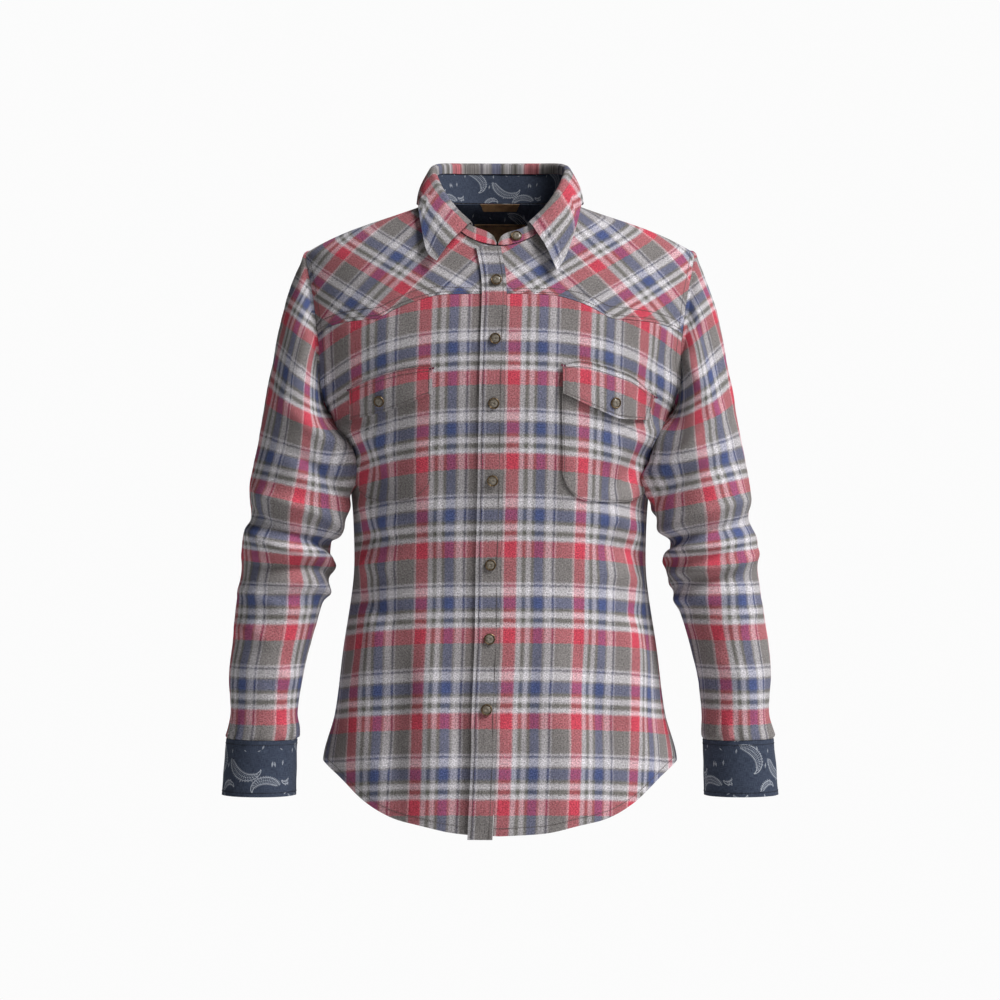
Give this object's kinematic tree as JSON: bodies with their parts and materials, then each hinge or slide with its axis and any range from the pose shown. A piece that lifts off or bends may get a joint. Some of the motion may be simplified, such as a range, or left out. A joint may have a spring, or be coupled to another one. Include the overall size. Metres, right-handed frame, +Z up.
{
  "type": "western snap shirt",
  "caption": "Long-sleeved plaid flannel shirt with pointed western yokes, flapped chest pockets, snap front and printed chambray cuffs, in its worn form.",
  "frame": {"origin": "midway between the two points where the shoulder seams meet the neck", "axes": "+Z up, the front faces -Y, the wearer's left is +X"},
  "size_m": [0.665, 0.2451, 0.8056],
  "materials": {
    "flannel": "brushed plaid flannel",
    "chambray": "printed chambray",
    "leather": "matte",
    "brass": "antique",
    "pearl": "gloss"
  },
  "bodies": {
    "root": {"front_left": "flannel", "front_right": "flannel", "back": "flannel", "yoke_front_left": "flannel", "yoke_front_right": "flannel", "yoke_back": "flannel", "sleeve_left": "flannel", "sleeve_right": "flannel", "placket": "flannel", "pocket_left": "flannel", "pocket_right": "flannel", "flap_left": "flannel", "flap_right": "flannel", "collar_stand": "flannel", "collar_fall": "flannel", "yoke_lining": "chambray", "stand_facing": "chambray", "cuff_left": "chambray", "cuff_right": "chambray", "hanger_loop": "leather", "neck_label": "leather", "snap_front_1_ring": "brass", "snap_front_1_cap": "pearl", "snap_front_2_ring": "brass", "snap_front_2_cap": "pearl", "snap_front_3_ring": "brass", "snap_front_3_cap": "pearl", "snap_front_4_ring": "brass", "snap_front_4_cap": "pearl", "snap_front_5_ring": "brass", "snap_front_5_cap": "pearl", "snap_front_6_ring": "brass", "snap_front_6_cap": "pearl", "snap_front_7_ring": "brass", "snap_front_7_cap": "pearl", "snap_neck_ring": "brass", "snap_neck_cap": "pearl", "snap_flap_left_ring": "brass", "snap_flap_left_cap": "pearl", "snap_flap_right_ring": "brass", "snap_flap_right_cap": "pearl", "snap_cuff_left_ring": "brass", "snap_cuff_left_cap": "pearl", "snap_cuff_right_ring": "brass", "snap_cuff_right_cap": "pearl"}
  },
  "joints": []
}
